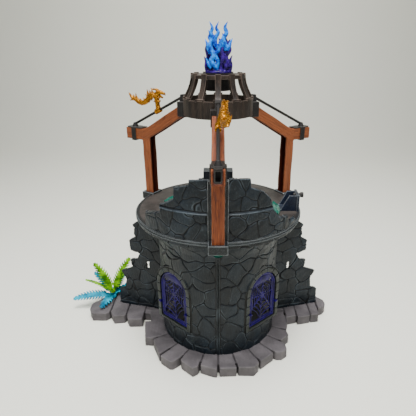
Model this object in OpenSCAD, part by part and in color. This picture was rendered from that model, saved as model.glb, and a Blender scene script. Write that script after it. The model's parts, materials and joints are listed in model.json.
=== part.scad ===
// Miniature ruined tower for tabletop play. A round lower wall with web grilles carries a deck
// with a broken parapet, and three posts with rafters carry a crown that holds a flame.
// The origin is on the tower's axis at the underside of the base. +Z is up and the front is -Y.

/* [Base] */
// Thickness of the paving under the walls
base_h = 15; // [12:0.5:22]
// Width of the joints between paving stones
joint_w = 1.6; // [0.8:0.1:2.4]
// Depth of the joints between paving stones
joint_d = 2; // [1:0.5:3]

/* [Lower tower] */
// Outer radius of the lower wall
tower_r = 78; // [68:1:94]
// Thickness of the lower wall
wall_t = 4; // [3:0.5:6]
// Height of the straight lower wall above the paving
drum_h = 131; // [115:1:158]
// Angle from the front to each end of the lower wall
drum_half = 98; // [92:1:105]
// Height of the flared corbel
corbel_h = 35; // [28:1:40]
// How far the corbel flares out
corbel_out = 24; // [20:1:28]

/* [Windows] */
// Angle of each window's face from the front
window_az = 41; // [38:1:46]
// Width of the window opening
window_w = 47; // [40:1:50]
// Height of the window opening
window_h = 72; // [60:1:76]
// Height of the sill above the paving
sill_h = 31; // [20:1:36]
// Width of the stone surround
surround_w = 6.5; // [5:0.5:8]
// Thickness of the web grille
grille_t = 3; // [2:0.25:4]

/* [Wing walls] */
// Length of each wing wall from the tower's side
wing_len = 74; // [60:1:90]
// Thickness of each wing wall
wing_t = 5; // [4:0.5:7]
// Angle by which each wing wall leans backwards
wing_sweep = 15.4; // [8:0.2:20]

/* [Deck and parapet] */
// Thickness of the deck with its rim
deck_t = 5.5; // [5:0.5:8]
// How far the rim stands out past the corbel
rim_over = 2; // [1.5:0.5:4]
// Thickness of the parapet
parapet_t = 4.5; // [3.5:0.5:6]
// Height of the parapet's tallest stone above the deck
parapet_h = 69.5; // [60:0.5:78]

/* [Frame] */
// Width of a post, across the tower's radius
post_w = 13; // [10:0.5:15]
// Depth of a post, along the tower's radius
post_d = 12.4; // [10:0.2:14]
// Wall of the hollow timbers
timber_wall = 2.6; // [2:0.1:3.2]
// Height from the deck to the top of the stub arm
post_h = 89; // [78:1:106]
// Depth of the stub arm
stub_d = 15; // [12:0.5:18]
// How far the stub arm reaches past the post
stub_out = 27; // [24:1:34]
// Slope of the rafters
rafter_slope = 30.6; // [26:0.2:34]
// Depth of a rafter, measured square to its slope
rafter_d = 13.5; // [11:0.5:15]
// Radius of the strut rods
rod_r = 1.65; // [1.3:0.05:1.9]

/* [Crown] */
// Outer radius of the crown's band
crown_r = 40.4; // [36:0.2:46]
// Height of the crown's band
band_h = 19; // [15:0.5:21]
// Height of the cage above the band
cage_h = 26; // [22:0.5:30]
// Outer radius at the top of the cage
cage_top_r = 31; // [28:0.5:33]
// Ribs around the cage
rib_count = 12; // [12:3:15]
// Outer radius of the flame cup
cup_r = 14.4; // [12:0.2:16]
// Height of the flame above the cup
flame_h = 52; // [44:1:62]

/* [Fits] */
// Gap between separate still pieces that plug together
seat_gap = 0.1; // [0.05:0.01:0.15]
// Radial clearance of a turning or sliding fit
run_gap = 0.08; // [0.04:0.01:0.1]
// Gap between moving pieces that pass each other
pass_gap = 0.35; // [0.3:0.05:0.6]

/* [Hidden] */
$fn = 96;

// Azimuth of each post from the front: positive is towards +X
front_az = 0;
left_az = -120;
right_az = 120;

// Heights
slot_d = 3;
drum_z = base_h - slot_d;
corbel_z = base_h + drum_h;
deck_z = corbel_z + corbel_h;
floor_z = deck_z + deck_t;
stub_z = floor_z + post_h;
sill_z = base_h + sill_h;

// Radii
corbel_r = tower_r + corbel_out;
rim_r = corbel_r + rim_over;
parapet_r = rim_r - 2;
post_in = rim_r - 3.5;
post_out = post_in + post_d;
stub_end = post_out + stub_out;

// Rafter: its top edge leaves the stub's top at rafter_r and ends at rafter_end
rafter_r = post_in + 8;
rafter_end = crown_r + 3.5;
rafter_fall = rafter_d / cos(rafter_slope);
function rafter_top(r) = stub_z + (rafter_r - r) * tan(rafter_slope);
function rafter_low(r) = rafter_top(r) - rafter_fall;

// Crown heights, set by where the rafters arrive
clip_r = crown_r + 12.6;
clip_z = rafter_low(crown_r + 4.6) - 1;
clip_top = rafter_top(crown_r + 4.6) + 1;
band_z = clip_z + 5.5;
cage_z = band_z + band_h;
ring_z = cage_z + cage_h - 4;
ring_top = cage_z + cage_h;
cup_top = ring_top + 1.2;

// Strut rods: upper and lower end of the rod's axis in the radial plane
rod_top = [crown_r + 6.4, clip_top + 6.7];
rod_foot = [stub_end - 10, stub_z + 3.9];
rod_len = norm(rod_foot - rod_top);
rod_fall = atan2(rod_top[1] - rod_foot[1], rod_foot[0] - rod_top[0]);

// Windows
surround_face = tower_r - 0.5;
grille_back = tower_r - 5;
window_shift = window_w * 0.18;

// Knob
knob_z = floor_z + 18;
knob_y = -8;
plate_x = rim_r - 7;
plate_t = 2.8;
shaft_r = 1.5;

// Place children at azimuth az, with local +X pointing outwards
module at_az(az) rotate([0, 0, az - 90]) children();

// A radial plate: the outline is drawn in radius and height
module radial_plate(w) rotate([90, 0, 0]) linear_extrude(w, center = true) children();

// A ring sector between two azimuths
module sector(profile, from_az, to_az)
    rotate([0, 0, from_az - 90])
        rotate_extrude(angle = to_az - from_az, $fn = 180) polygon(profile);

// A box in a radial frame: radius range, width, height range
module radial_box(r0, r1, w, z0, z1) translate([r0, -w / 2, z0]) cube([r1 - r0, w, z1 - z0]);

// ---- base ----

// Paving edge: azimuth, and how far it lies outside the lower wall
stone_edge = [[-90, 110], [-90, 81], [-89, 72], [-89, 57], [-85, 51], [-85, 33], [-63, 31],
    [-42, 33], [-33, 31], [-29, 20], [-16, 30], [0, 28], [14, 29], [28, 32], [32, 23],
    [43, 28], [54, 34], [68, 28], [84, 14], [87, 39], [91, 71], [97, 87], [105, 83],
    [118, 76], [138, 54], [150, 40], [166, 24], [180, 13], [-166, 24], [-150, 40],
    [-138, 58], [-122, 86],
    [-108, 108], [-98, 115]];
// Azimuths of the joints between paving stones
stone_joints = [-80, -63, -45, -29, -14, 0, 14, 31, 43, 60, 76];

function polar(az, r) = [r * sin(az), -r * cos(az)];

module base_plate() {
    color([0.43, 0.41, 0.42]) difference() {
        linear_extrude(base_h) polygon([for (e = stone_edge) polar(e[0], tower_r + e[1])]);
        for (az = stone_joints)
            at_az(az) radial_box(tower_r + 2, tower_r + 60, joint_w, base_h - joint_d, base_h + 1);
        for (side = [-1, 1], out = [24, 46])
            at_az(side * 90) radial_box(tower_r + out, tower_r + out + joint_w, 60,
                base_h - joint_d, base_h + 1);
        sector([[tower_r - wall_t - seat_gap, drum_z - seat_gap],
                [tower_r + seat_gap, drum_z - seat_gap],
                [tower_r + seat_gap, base_h + 1],
                [tower_r - wall_t - seat_gap, base_h + 1]],
            -drum_half - 0.3, drum_half + 0.3);
        for (side = [-1, 1])
            wing_frame(side) translate([wing_in - seat_gap, -seat_gap, drum_z - seat_gap])
                cube([wing_out - wing_in - 3 + 2 * seat_gap, wing_t + 2 * seat_gap, slot_d + 2]);
        fern_place() cylinder(r = fern_peg_r + run_gap, h = 40, center = true);
    }
}

// ---- lower wall ----

corbel_steps = 6;
function corbel_curve(r0, r1, z0, z1) =
    [for (i = [0:corbel_steps]) let (a = 90 * i / corbel_steps)
        [r1 - (r1 - r0) * cos(a), z0 + (z1 - z0) * sin(a)]];

drum_profile = concat(
    [[tower_r, drum_z]],
    corbel_curve(tower_r, corbel_r, corbel_z, deck_z - 4),
    [[corbel_r, deck_z], [corbel_r - wall_t - 2, deck_z]],
    [for (i = [corbel_steps:-1:0]) let (a = 90 * i / corbel_steps)
        [corbel_r - wall_t - 2 - (corbel_out - 2) * cos(a),
         corbel_z + 3 + (corbel_h - 8) * sin(a)]],
    [[tower_r - wall_t, drum_z]]);

// Local frame of the left window: X across it towards the front seam, Y outwards, Z up
module window_frame()
    rotate([0, 0, -window_az]) mirror([0, 1, 0]) translate([-window_shift, 0, 0]) children();

// A round-headed outline, w wide and h high from z0
module arch(w, h, z0) {
    translate([-w / 2, z0]) square([w, h - w / 2]);
    intersection() {
        translate([0, z0 + h - w / 2]) circle(w / 2, $fn = 64);
        translate([-w, z0]) square([2 * w, 2 * h]);
    }
}

// An outline standing in the window's face, from y0 to y1 outwards
module window_plate(y0, y1) translate([0, y1, 0]) rotate([90, 0, 0]) linear_extrude(y1 - y0)
    children();

module front_wall_left() {
    color([0.17, 0.2, 0.22]) difference() {
        union() {
            sector(drum_profile, -drum_half, 0);
            difference() {
                window_frame() window_plate(surround_face - 22, surround_face)
                    arch(window_w + 2 * surround_w, window_h + 2 * surround_w, sill_z - 4);
                translate([0, 0, base_h]) cylinder(r = tower_r - wall_t, h = drum_h, $fn = 180);
            }
        }
        window_frame() window_plate(surround_face - 40, surround_face + 20)
            arch(window_w, window_h, sill_z);
        socket_notch(front_az);
    }
}

module front_wall_right() mirror([1, 0, 0]) front_wall_left();

// ---- window grilles ----

spoke_w = 2;
spokes = 8;
web_rings = [0.36, 0.72];

module web_ring(r)
    difference() {
        circle(r + spoke_w / 2, $fn = spokes);
        circle(r - spoke_w / 2, $fn = spokes);
    }

module window_grille_left() {
    w = window_w - 2 * seat_gap;
    h = window_h - 2 * seat_gap;
    z0 = sill_z + seat_gap;
    mid = z0 + h * 0.5;
    color([0.29, 0.2, 0.55]) window_frame() {
        window_plate(grille_back, grille_back + grille_t) {
            difference() {
                arch(w, h, z0);
                arch(w - 8, h - 8, z0 + 4);
            }
            intersection() {
                arch(w - 2, h - 2, z0 + 1);
                translate([0, mid]) {
                    for (i = [0:spokes / 2 - 1])
                        rotate(i * 360 / spokes) square([2 * h, spoke_w], center = true);
                    for (k = web_rings) web_ring(k * w * 0.52);
                }
            }
        }
        for (s = [-1, 1]) {
            translate([s * (w / 2 - 1.2) - 1.2, grille_back + 1, z0 + h * 0.27])
                cube([2.4, surround_face - grille_back + 0.6, 4]);
            translate([s * (w / 2 + 1) - 2.2, surround_face + seat_gap, z0 + h * 0.27])
                cube([4.4, 1.4, 4]);
        }
    }
}

module window_grille_right() mirror([1, 0, 0]) window_grille_left();

// ---- wing walls ----

wing_in = -9;
wing_out = wing_len - 9;
wing_x = tower_r + 9;
wing_y = 15.6;
slit_at = 12;
slit_w = 4;

// Local frame of a wing wall: X outwards along it, Y backwards through it
module wing_frame(side)
    mirror([side > 0 ? 0 : 1, 0, 0])
        translate([wing_x, wing_y, 0]) rotate([0, 0, wing_sweep]) children();

// Broken outer edge: how far in from the wing's end, and height as a share of the drum
wing_edge = [[0, 0], [2, 0.19], [12, 0.225], [14, 0.34], [7.5, 0.43], [26, 0.49],
    [24, 0.59], [35, 0.61], [38.5, 0.68], [25.5, 0.71], [24.5, 0.83], [35, 0.88], [33, 0.91],
    [34, 0.98], [32, 1.02], [40.5, 1.066]];
wing_top = 1.066;

module wing_wall(side) {
    color([0.17, 0.2, 0.22]) difference() {
        wing_frame(side) {
            translate([0, wing_t, 0]) rotate([90, 0, 0]) linear_extrude(wing_t)
                polygon(concat([[wing_in, base_h]],
                    [for (p = wing_edge) [wing_out - p[0], base_h + p[1] * drum_h]],
                    [[wing_in, base_h + wing_top * drum_h]]));
            translate([wing_in, 0, drum_z]) cube([wing_out - wing_in - 3, wing_t, slot_d]);
        }
        wing_frame(side) translate([slit_at, -1, base_h + drum_h * 0.5])
            cube([slit_w, wing_t + 2, drum_h * 0.09]);
        translate([0, 0, -1]) rotate_extrude($fn = 180) polygon(concat([[0, 0]],
            [for (p = drum_profile) if (p[0] > tower_r - 0.1) [p[0] + seat_gap, p[1] + 1]],
            [[0, deck_z + 2]]));
    }
}

module wing_wall_left() wing_wall(-1);
module wing_wall_right() wing_wall(1);

// ---- deck ----

socket_w = post_w + 7.4;
socket_in = post_in - 2.5;
socket_out = post_out + 3.6;
socket_z = floor_z - 8;
socket_top = floor_z + 2;
foot_z = socket_z + 2.5;
// How far the hollow under the floor rises into the deck
deck_hollow = 1.5;

// Room for a socket in the rim and in the top of the corbel
module socket_notch(az)
    at_az(az) radial_box(socket_in - seat_gap, socket_out + 1, socket_w + 2 * seat_gap,
        socket_z - seat_gap, floor_z + 1);

module deck() {
    rim_mid = deck_z + deck_t / 2;
    color([0.39, 0.36, 0.34]) difference() {
        union() {
            translate([0, 0, deck_z]) cylinder(r = rim_r - 3, h = deck_t, $fn = 180);
            translate([0, 0, deck_z - 3])
                cylinder(r = corbel_r - wall_t - 2 - seat_gap, h = 4, $fn = 180);
            rotate_extrude($fn = 180) polygon([[rim_r - 8, deck_z], [rim_r - 1, deck_z],
                [rim_r, deck_z + 0.8], [rim_r, rim_mid - 0.9], [rim_r - 1.2, rim_mid - 0.4],
                [rim_r - 1.2, rim_mid + 0.4], [rim_r, rim_mid + 0.9], [rim_r, floor_z - 0.8],
                [rim_r - 1, floor_z], [rim_r - 8, floor_z]]);
        }
        translate([0, 0, deck_z - 4])
            cylinder(r = corbel_r - wall_t - 8, h = deck_hollow + 4, $fn = 180);
        for (az = [front_az, left_az, right_az]) socket_notch(az);
    }
}

// ---- parapet ----

// Broken top edge: azimuth, and height as a share of the tallest stone
left_steps = [[-54, 0.235], [-38, 0.36], [-38, 0.48], [-27, 0.62], [-27, 0.81], [-17, 0.87],
    [-17, 0.945], [-3, 0.985]];
right_steps = [[3, 1], [18.8, 0.965], [19.2, 0.83], [27.7, 0.74], [33, 0.6], [35.5, 0.42],
    [40.7, 0.25], [50, 0.2], [50.5, 0.1], [62, 0.05]];
channel_w = 21;
// The parapet's foot stands out to a ledge a little under half way up
ledge_out = 1.4;
ledge_z = floor_z + 0.45 * parapet_h;

// Outline of a stepped wall in x and height, over the x that its azimuths reach
function step_outline(steps) =
    concat([[parapet_r * sin(steps[0][0]), 0]],
        [for (s = steps) [parapet_r * sin(s[0]), s[1] * parapet_h]],
        [[parapet_r * sin(steps[len(steps) - 1][0]), 0]]);

module parapet(steps, from_az, to_az) {
    color([0.17, 0.2, 0.22]) difference() {
        intersection() {
            sector([[parapet_r - parapet_t, floor_z], [parapet_r + ledge_out, floor_z],
                    [parapet_r + ledge_out, ledge_z - 1], [parapet_r, ledge_z],
                    [parapet_r, floor_z + parapet_h + 1],
                    [parapet_r - parapet_t, floor_z + parapet_h + 1]], from_az, to_az);
            translate([0, 0, floor_z]) rotate([90, 0, 0]) linear_extrude(parapet_r + 5)
                polygon(step_outline(steps));
        }
        at_az(front_az) radial_box(parapet_r - 20, parapet_r + 10, channel_w + 2 * seat_gap,
            floor_z - 1, floor_z + parapet_h + 2);
    }
}

module parapet_left() parapet(left_steps, -58, 0);
module parapet_right() parapet(right_steps, 0, 70);

module post_channel() {
    plate_r = post_in - 0.5;
    rail_w = (channel_w - post_w) / 2 - 0.4;
    top = floor_z + parapet_h * 0.97;
    color([0.15, 0.17, 0.19]) at_az(front_az) difference() {
        union() {
            radial_box(plate_r - 2.4, plate_r, channel_w, floor_z, top);
            for (s = [-1, 1])
                translate([0, s * (channel_w - rail_w) / 2, 0])
                    radial_box(plate_r - 2.4, rim_r - 0.1, rail_w, socket_top + seat_gap, top);
        }
        radial_box(socket_in - seat_gap, socket_out, channel_w + 2, floor_z - 1,
            socket_top + seat_gap);
    }
}

module post_socket(az) {
    color([0.15, 0.17, 0.19]) at_az(az) difference() {
        radial_box(socket_in, socket_out, socket_w, socket_z, socket_top);
        radial_box(post_in - seat_gap, post_out + seat_gap, post_w + 2 * seat_gap, foot_z,
            socket_top + 1);
    }
}

module post_socket_front() post_socket(front_az);
module post_socket_left() post_socket(left_az);
module post_socket_right() post_socket(right_az);

// ---- timber frame ----

module timber(az) {
    w = timber_wall;
    fall = w / cos(rafter_slope);
    color([0.62, 0.36, 0.25]) at_az(az) difference() {
        radial_plate(post_w) polygon([[post_in, foot_z + seat_gap],
            [post_out, foot_z + seat_gap], [post_out, stub_z - stub_d],
            [stub_end, stub_z - stub_d], [stub_end, stub_z], [rafter_r, stub_z],
            [rafter_end, rafter_top(rafter_end)], [rafter_end, rafter_low(rafter_end)],
            [post_in, rafter_low(post_in)]]);
        radial_plate(post_w - 2 * w) polygon([[post_in - 1, foot_z],
            [post_out - w, foot_z], [post_out - w, stub_z - stub_d + w],
            [stub_end + 1, stub_z - stub_d + w], [stub_end + 1, stub_z + 1],
            [post_out + 4, stub_z + 1], [post_out + 4, stub_z - w], [rafter_r, stub_z - w],
            [rafter_end - 1, rafter_top(rafter_end - 1) - fall],
            [rafter_end - 1, rafter_low(rafter_end) - 20],
            [post_in - 1, rafter_low(post_in) - 20]]);
    }
}

module post_front() timber(front_az);
module post_left() timber(left_az);
module post_right() timber(right_az);

// The rod's straight line, as a cylinder of radius r in the radial plane
module along_rod(r, from = 0, to = rod_len)
    translate([rod_top[0], 0, rod_top[1]]) rotate([0, 90 + rod_fall, 0])
        translate([0, 0, from]) cylinder(r = r, h = to - from, $fn = 48);

module strut_rod(az) color([0.24, 0.23, 0.22]) at_az(az) along_rod(rod_r);

module strut_rod_front() strut_rod(front_az);
module strut_rod_left() strut_rod(left_az);
module strut_rod_right() strut_rod(right_az);

eye_w = 6.4;
strap_t = 1.3;
cone_h = 5.8;

// A lining that fills the open end of the stub's hollow, and is hollow itself
module stub_lining() {
    w = post_w - 2 * timber_wall - 2 * seat_gap;
    low = stub_z - stub_d + timber_wall + seat_gap;
    difference() {
        radial_box(stub_end - 9, stub_end - 0.5, w, low, stub_z + strap_t);
        radial_box(stub_end - 7.8, stub_end, w - 2.4, low + 1.2, stub_z - 1.2);
    }
}

module stub_strap(az) {
    strap_r = stub_end - 13.5;
    color([0.2, 0.19, 0.18]) at_az(az) {
        difference() {
            union() {
                radial_box(strap_r - 3.4, strap_r + 3.4, post_w + 2 * strap_t + 2 * seat_gap,
                    stub_z - stub_d - strap_t, stub_z + strap_t);
                radial_box(rafter_r + 5, stub_end - 5, post_w, stub_z + seat_gap,
                    stub_z + strap_t);
                translate([rod_foot[0] - 1, 0, stub_z + 0.5])
                    cylinder(r1 = 4.6, r2 = 2.1, h = cone_h);
            }
            radial_box(strap_r - 20, strap_r + 20, post_w + 2 * seat_gap,
                stub_z - stub_d - seat_gap, stub_z + seat_gap);
            along_rod(rod_r + run_gap, 0, rod_len + seat_gap);
        }
        stub_lining();
    }
}

module stub_strap_front() stub_strap(front_az);
module stub_strap_left() stub_strap(left_az);
module stub_strap_right() stub_strap(right_az);

module rafter_clip(az) {
    fit = 2 * seat_gap;
    color([0.2, 0.19, 0.18]) at_az(az) difference() {
        union() {
            radial_box(crown_r - 2, clip_r, post_w + 3.2, clip_z, clip_top);
            radial_plate(eye_w) polygon([[crown_r - 2, clip_top - 2], [clip_r, clip_top - 2],
                [rod_top[0] + 4.5, rod_top[1] + 1.5], [crown_r - 2, rod_top[1] + 2.8]]);
        }
        radial_plate(post_w + fit) polygon([[rafter_end - seat_gap, rafter_top(rafter_end) + fit],
            [clip_r + 1, rafter_top(clip_r + 1) + fit],
            [clip_r + 1, rafter_low(clip_r + 1) - fit - 20],
            [rafter_end - seat_gap, rafter_low(rafter_end) - fit - 20]]);
        along_rod(rod_r + run_gap, -seat_gap, rod_len);
        translate([0, 0, clip_z - 5])
            cylinder(r = crown_r + seat_gap, h = 60, $fn = 144);
    }
}

module rafter_clip_front() rafter_clip(front_az);
module rafter_clip_left() rafter_clip(left_az);
module rafter_clip_right() rafter_clip(right_az);

// ---- crown ----

rib_w = 6.3;
band_t = 2.8;
rib_curve = [for (i = [0:5]) let (a = i / 5)
    [cage_top_r + (crown_r - cage_top_r) * (1 - sin(90 * a)), cage_z + cage_h * a]];

module crown_cage() {
    color([0.27, 0.25, 0.24]) {
        rotate_extrude($fn = 144) polygon([[crown_r - band_t, band_z], [crown_r, band_z],
            [crown_r, cage_z], [crown_r - band_t, cage_z]]);
        rotate_extrude($fn = 144) polygon([[cup_r + seat_gap, ring_z], [cage_top_r - 0.5, ring_z],
            [cage_top_r - 0.5, ring_top], [cup_r + seat_gap, ring_top]]);
        for (i = [0:rib_count - 1]) at_az(i * 360 / rib_count) {
            radial_plate(rib_w) polygon(concat(
                [[crown_r - 0.3, cage_z - 1.5]],
                [for (p = rib_curve) [p[0], p[1]]],
                [[cage_top_r, ring_top + 1.4], [cage_top_r - 3.4, ring_top + 1.4]],
                [for (k = [5:-1:0]) [rib_curve[k][0] - 3.4, rib_curve[k][1] - 0.5]],
                [[crown_r - 2.6, cage_z - 1.5]]));
            radial_box(crown_r - band_t + 0.2, crown_r - 0.2, rib_w + 4.4, cage_z - 1, cage_z + 2);
        }
    }
}

cup_wall = 1.4;
cup_in = cup_r - cup_wall;
cup_z = ring_top - 17.5;

module flame_cup() {
    color([0.16, 0.15, 0.15]) rotate_extrude($fn = 96) polygon([[0, cup_z], [cup_r, cup_z],
        [cup_r, ring_top], [cup_r + 2.6, ring_top], [cup_r + 2.6, cup_top], [cup_in, cup_top],
        [cup_in, cup_z + cup_wall], [0, cup_z + cup_wall]]);
}

// ---- flame ----

flame_z = cup_top + pass_gap;
flame_half = 15;

// Tongue outlines: share of the half width, share of the flame's height
purple_tongues = [[-1, 0.04], [-1.08, 0.3], [-0.86, 0.2], [-0.62, 0.52], [-0.3, 0.3],
    [0.1, 0.62], [0.5, 0.36], [0.85, 0.66], [0.86, 0.2], [1.08, 0.3], [1, 0.04]];
blue_tongues = [[-0.6, 0.02], [-0.92, 0.64], [-0.66, 0.46], [-0.53, 0.98], [-0.2, 0.6],
    [0, 0.97], [0.22, 0.62], [0.6, 1], [0.52, 0.5], [0.36, 0.2], [0.3, 0.02]];

module tongues(outline, t)
    rotate([90, 0, 0]) linear_extrude(t)
        polygon([for (p = outline) [p[0] * flame_half, flame_z + p[1] * flame_h]]);

module flame_purple() {
    color([0.32, 0.2, 0.6]) {
        translate([0, 0, cup_z + cup_wall + 1])
            cylinder(r = cup_in - run_gap, h = flame_z - cup_z - cup_wall, $fn = 96);
        translate([0, 0, flame_z]) cylinder(r = flame_half, h = 3, $fn = 96);
        translate([0, 7, 0]) tongues(purple_tongues, 7);
        // The same tongues turned across the first, kept behind the blue ones
        intersection() {
            rotate([0, 0, 90]) translate([0, 3, 0]) tongues(purple_tongues, 6);
            translate([-flame_half, 0, flame_z])
                cube([2 * flame_half, 2 * flame_half, flame_h + 1]);
        }
    }
}

module flame_blue() {
    color([0.16, 0.59, 0.94]) difference() {
        translate([0, -4.2, 0]) tongues(blue_tongues, 5);
        translate([0, 0, flame_z - 1]) cylinder(r = flame_half + 5, h = 4 + seat_gap);
    }
}

// ---- dragons ----

dragon_t = 6;
// How far down its rod each dragon sits
front_at = 41;
left_at = 46.5;
// Height of a dragon as a share of its outline's
dragon_rise = 0.93;
sleeve_r = 3.6;
sleeve_len = 9;
// The front dragon rests swung a little towards +X
front_lean = -17;

// Side outline of a dragon: along the rod's plane outwards, and up from the rod
dragon_outline = [[-9.5, 26.5], [-4, 29], [4, 28.5], [11, 29.5], [9, 25], [14, 26.5],
    [15.5, 20], [19, 15], [24, 12.5], [30, 13.5], [34, 17], [37, 21], [39, 16.5], [43, 18],
    [49, 22], [46.5, 15.5], [44, 12], [38, 9.5], [31, 8], [24, 7.5], [18, 9], [13, 13.5],
    [8, 14.5], [4.8, 15.5], [4.2, 8], [3.6, 1], [-3.4, 1], [-2.5, 10], [-1.5, 17], [-3.5, 21],
    [-6, 16.5], [-9, 17.5], [-9.5, 20.5], [-12.5, 22]];

module dragon(az, at, lean) {
    color([0.78, 0.58, 0.2]) at_az(az) translate([rod_top[0], 0, rod_top[1]])
        rotate([0, rod_fall, 0]) rotate([lean, 0, 0]) translate([at, 0, 0])
            difference() {
                union() {
                    rotate([0, 90, 0]) cylinder(r = sleeve_r, h = sleeve_len, center = true);
                    rotate([0, -rod_fall, 0]) radial_plate(dragon_t)
                        polygon([for (p = dragon_outline) [p[0], p[1] * dragon_rise]]);
                }
                rotate([0, 90, 0])
                    cylinder(r = rod_r + run_gap, h = 4 * sleeve_len, center = true, $fn = 48);
            }
}

module dragon_front() dragon(front_az, front_at, front_lean);
module dragon_left() dragon(left_az, left_at, 0);

// ---- gems ----

module gem_front()
    color([0.08, 0.55, 0.49]) at_az(front_az) translate([rim_r + pass_gap, 0, 0])
        rotate([90, 0, 90]) linear_extrude(8.5)
            polygon([[-6.7, socket_z - seat_gap], [-6.7, socket_z - 1.6], [-2.5, socket_z - 4.6],
                [2.5, socket_z - 4.6], [6.7, socket_z - 1.6], [6.7, socket_z - seat_gap]]);

module gem_left()
    color([0.08, 0.55, 0.49]) translate([-rim_r, 0, floor_z]) linear_extrude(2.4)
        polygon([[33, 12], [36, 9], [43, 17], [47, 27], [44, 32], [38, 25]]);

module gem_right()
    color([0.08, 0.55, 0.49]) translate([plate_x - 20, 0, floor_z]) linear_extrude(2.4)
        polygon([[-5, 12], [-10, -4], [-9, -20], [-4, -34], [0, -18], [0, -2]]);

// ---- fern ----

fern_peg_r = 2.5;
fern_x = -(tower_r + 85);
fern_y = 46;
fern_collar = 7;

module fern_place() translate([fern_x, fern_y, 0]) children();

// Fronds: azimuth of the heading, tilt from upright, length
green_fronds = [[-92, 24, 56], [112, 28, 62], [-95, 64, 46], [0, 38, 34], [-160, 36, 42]];
cyan_fronds = [[-80, 93, 60], [-18, 94, 33], [-140, 66, 50], [168, 72, 40], [128, 76, 38]];

module frond(az, tilt, len)
    at_az(az) rotate([0, tilt, 0]) rotate([90, 0, 90]) translate([0, 0, -0.8])
        linear_extrude(1.6)
            polygon([[-1.2, 0], [-5, len * 0.25], [-6.5, len * 0.5], [-4.5, len * 0.8], [0, len],
                [4.5, len * 0.8], [6.5, len * 0.5], [5, len * 0.25], [1.2, 0]]);

module fern_green() {
    color([0.59, 0.78, 0.08]) fern_place() {
        translate([0, 0, base_h + fern_collar + seat_gap]) cylinder(r = 4, h = 5);
        translate([0, 0, base_h + fern_collar + 2])
            for (f = green_fronds) frond(f[0], f[1], f[2]);
    }
}

module fern_cyan() {
    color([0.12, 0.7, 0.82]) fern_place() {
        translate([0, 0, base_h - 8]) cylinder(r = fern_peg_r, h = 10);
        translate([0, 0, base_h + pass_gap]) cylinder(r = 5, h = fern_collar - pass_gap);
        difference() {
            translate([0, 0, base_h + fern_collar - 2])
                for (f = cyan_fronds) frond(f[0], f[1], f[2]);
            translate([0, 0, base_h + fern_collar]) cylinder(r = 7, h = 20);
        }
    }
}

// ---- side bracket and knob ----

module side_bracket() {
    color([0.1, 0.13, 0.18]) difference() {
        union() {
            translate([plate_x, knob_y - 12, floor_z]) cube([plate_t, 24, 21]);
            translate([plate_x - 20, knob_y - 10, floor_z]) cube([20.5, 20, 2]);
            for (y = [knob_y - 10, knob_y + 7])
                translate([plate_x + 0.5, y + 3, floor_z]) rotate([90, 0, 0]) linear_extrude(3)
                    polygon([[-20.5, 0], [0, 0], [0, 20], [-10, 20]]);
        }
        translate([plate_x - 1, knob_y, knob_z]) rotate([0, 90, 0])
            cylinder(r = shaft_r + run_gap, h = plate_t + 2, $fn = 48);
    }
}

module side_knob() {
    color([0.08, 0.08, 0.09]) translate([plate_x, knob_y, knob_z]) rotate([0, 90, 0]) {
        translate([0, 0, -3]) cylinder(r = 2.6, h = 3 - pass_gap, $fn = 48);
        translate([0, 0, -1]) cylinder(r = shaft_r, h = plate_t + 4, $fn = 48);
        translate([0, 0, plate_t + pass_gap]) cylinder(r = 2.4, h = 3, $fn = 48);
        translate([0, 0, plate_t + 3]) cylinder(r = 3.4, h = 3.4, $fn = 48);
    }
}

// ---- rear bracket ----

bracket_w = 43;

module rear_bracket() {
    color([0.2, 0.21, 0.22]) at_az(180) difference() {
        radial_box(rim_r - 25, rim_r - 6, bracket_w, floor_z, floor_z + 22);
        radial_box(rim_r - 26, rim_r - 5, bracket_w - 16, floor_z - 1, floor_z + 8);
        for (s = [-1, 1]) translate([rim_r - 15.5, s * bracket_w / 2, floor_z + 7])
            rotate([s * 90, 0, 0])
                cylinder(r = 1.6 + seat_gap / 2, h = 12, center = true, $fn = 48);
    }
}

module rear_peg(side)
    color([0.16, 0.17, 0.18]) at_az(180)
        translate([rim_r - 15.5, side * (bracket_w / 2 - 5), floor_z + 7])
            rotate([-side * 90, 0, 0]) {
                cylinder(r = 1.6, h = 12.5, $fn = 48);
                translate([0, 0, 5.2]) cylinder(r = 2.6, h = 1.8, $fn = 48);
            }

module rear_peg_left() rear_peg(1);
module rear_peg_right() rear_peg(-1);

base_plate();
front_wall_left();
front_wall_right();
window_grille_left();
window_grille_right();
wing_wall_left();
wing_wall_right();
deck();
parapet_left();
parapet_right();
post_channel();
post_socket_front();
post_socket_left();
post_socket_right();
post_front();
post_left();
post_right();
stub_strap_front();
stub_strap_left();
stub_strap_right();
rafter_clip_front();
rafter_clip_left();
rafter_clip_right();
strut_rod_front();
strut_rod_left();
strut_rod_right();
crown_cage();
flame_cup();
flame_blue();
flame_purple();
dragon_front();
dragon_left();
gem_front();
gem_left();
gem_right();
fern_green();
fern_cyan();
side_bracket();
side_knob();
rear_bracket();
rear_peg_left();
rear_peg_right();
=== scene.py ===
import json
import math

import bmesh
import bpy
import numpy as np
from mathutils import Matrix, Vector


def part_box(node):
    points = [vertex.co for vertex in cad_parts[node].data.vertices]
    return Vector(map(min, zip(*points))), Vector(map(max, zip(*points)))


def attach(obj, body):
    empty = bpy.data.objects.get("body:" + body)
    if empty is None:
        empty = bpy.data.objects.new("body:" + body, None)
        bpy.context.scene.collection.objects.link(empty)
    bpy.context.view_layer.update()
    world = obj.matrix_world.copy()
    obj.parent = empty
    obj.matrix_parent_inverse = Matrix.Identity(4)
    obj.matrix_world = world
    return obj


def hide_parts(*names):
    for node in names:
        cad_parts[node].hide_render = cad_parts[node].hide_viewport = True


# Looks for the miniature ruined tower, built up in the order in which the model goes together.

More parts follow.
